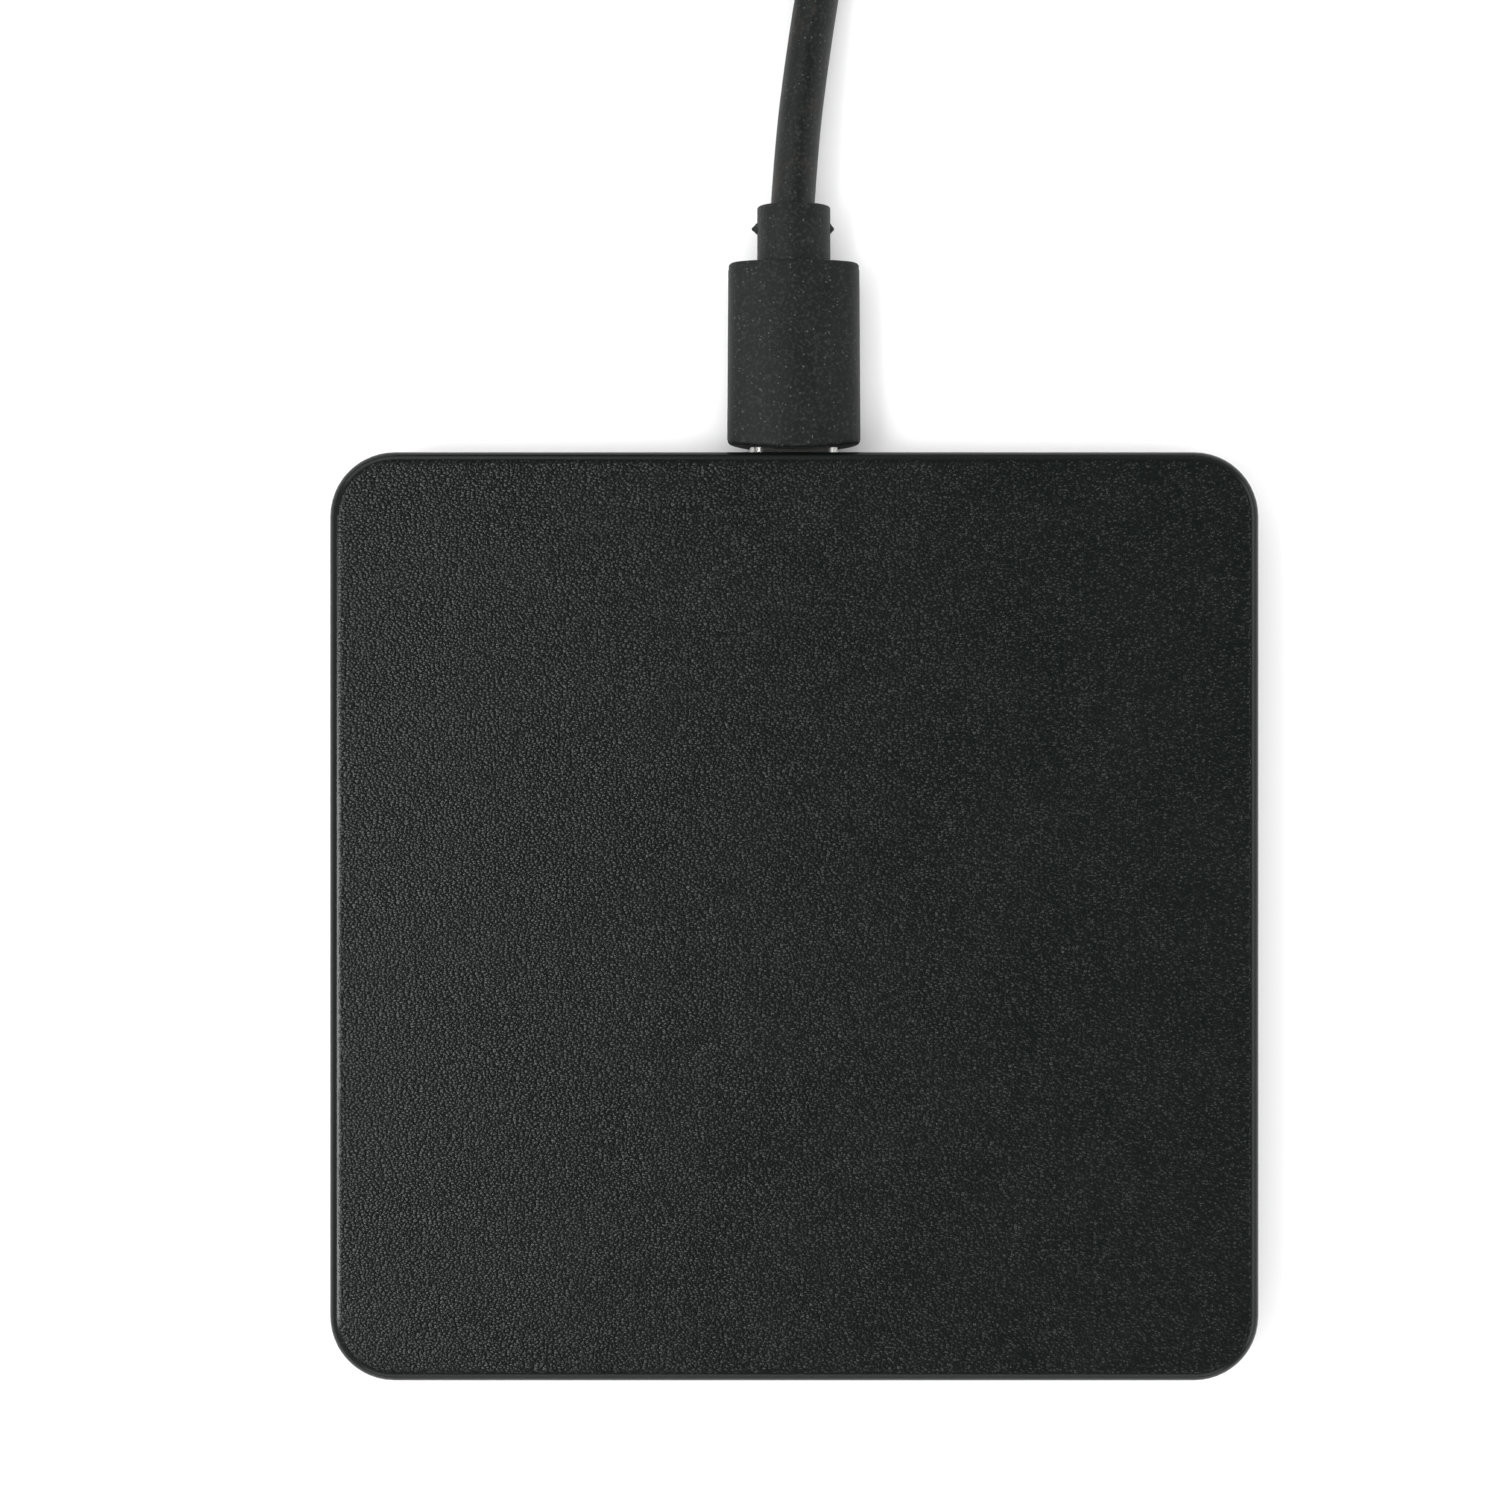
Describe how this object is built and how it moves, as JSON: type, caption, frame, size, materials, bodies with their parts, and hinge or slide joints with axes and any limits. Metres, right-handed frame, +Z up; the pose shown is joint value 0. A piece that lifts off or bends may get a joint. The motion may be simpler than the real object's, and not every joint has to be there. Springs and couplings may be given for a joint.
{
  "type": "wireless charging pad",
  "caption": "Thin square wireless charging pad with a grained charging face, rounded rim, rubber feet and a plug-in supply lead that pulls straight out of the back.",
  "frame": {"origin": "centre of the pad's outline, on the table that the feet stand on", "axes": "+Z up, out of the charging face; +Y towards the port in the back face; +X to the right seen from the front"},
  "size_m": [0.105, 0.1923, 0.0098],
  "materials": {
    "cover_plastic": "fine spark-eroded grain, satin",
    "base_plastic": "fine grain, matt",
    "foot_rubber": "matt",
    "screw_steel": "zinc plated",
    "litz_copper": "enamelled strands, satin",
    "ferrite": "smooth grey-black",
    "adhesive": "matt foam tape",
    "circuit_board": "solder resist, semi-gloss",
    "chip_resin": "moulded epoxy, matt",
    "ceramic": "fired ceramic, satin",
    "sensor_resin": "dipped epoxy, gloss",
    "led_resin": "clear resin",
    "light_pipe": "frosted, gloss",
    "plated_steel": "nickel plated, satin",
    "contact_gold": "gold flash",
    "connector_black": "moulded nylon, satin",
    "connector_white": "moulded nylon, satin",
    "inner_mould": "polyethylene, satin",
    "plug_tpe": "soft moulded elastomer, matt",
    "cord_jacket": "extruded elastomer, satin",
    "tie_vinyl": "vinyl ribbon round a wire, satin"
  },
  "bodies": {
    "pad": {"adhesive_disc": "adhesive", "base_cover": "base_plastic", "board_screw_back_left": "screw_steel", "board_screw_back_right": "screw_steel", "board_screw_front_left": "screw_steel", "board_screw_front_right": "screw_steel", "bridge_chip_1": "chip_resin", "bridge_chip_2": "chip_resin", "case_screw_back_left": "screw_steel", "case_screw_back_right": "screw_steel", "case_screw_front_left": "screw_steel", "case_screw_front_right": "screw_steel", "charging_coil": "litz_copper", "circuit_board": "circuit_board", "coil_lead_inner": "litz_copper", "coil_lead_outer": "litz_copper", "controller_chip": "chip_resin", "ferrite_shield": "ferrite", "inductor": "chip_resin", "input_capacitor_1": "ceramic", "input_capacitor_2": "ceramic", "light_pipe": "light_pipe", "receptacle_contacts": "contact_gold", "receptacle_shell": "plated_steel", "receptacle_tongue": "connector_black", "resonant_capacitor_1": "ceramic", "resonant_capacitor_2": "ceramic", "resonant_capacitor_3": "ceramic", "resonant_capacitor_4": "ceramic", "rubber_foot_back_left": "foot_rubber", "rubber_foot_back_right": "foot_rubber", "rubber_foot_front_left": "foot_rubber", "rubber_foot_front_right": "foot_rubber", "status_led": "led_resin", "thermistor": "sensor_resin", "top_cover": "cover_plastic"},
    "cable": {"plug_shell": "plated_steel", "plug_insulator": "connector_black", "plug_contacts": "contact_gold", "plug_board": "circuit_board", "plug_inner_mould": "inner_mould", "plug_overmould": "plug_tpe", "cable_lead": "cord_jacket", "cable_coil": "cord_jacket", "cable_tail": "cord_jacket", "cable_tie": "tie_vinyl", "usb_a_overmould": "plug_tpe", "usb_a_inner_mould": "inner_mould", "usb_a_shell": "plated_steel", "usb_a_insulator": "connector_white", "usb_a_contacts": "contact_gold"}
  },
  "joints": [
    {"name": "plug_slide", "type": "slide", "parent": "pad", "child": "cable", "axis": [0, 1, 0], "range_m": [0, 0.009]}
  ]
}
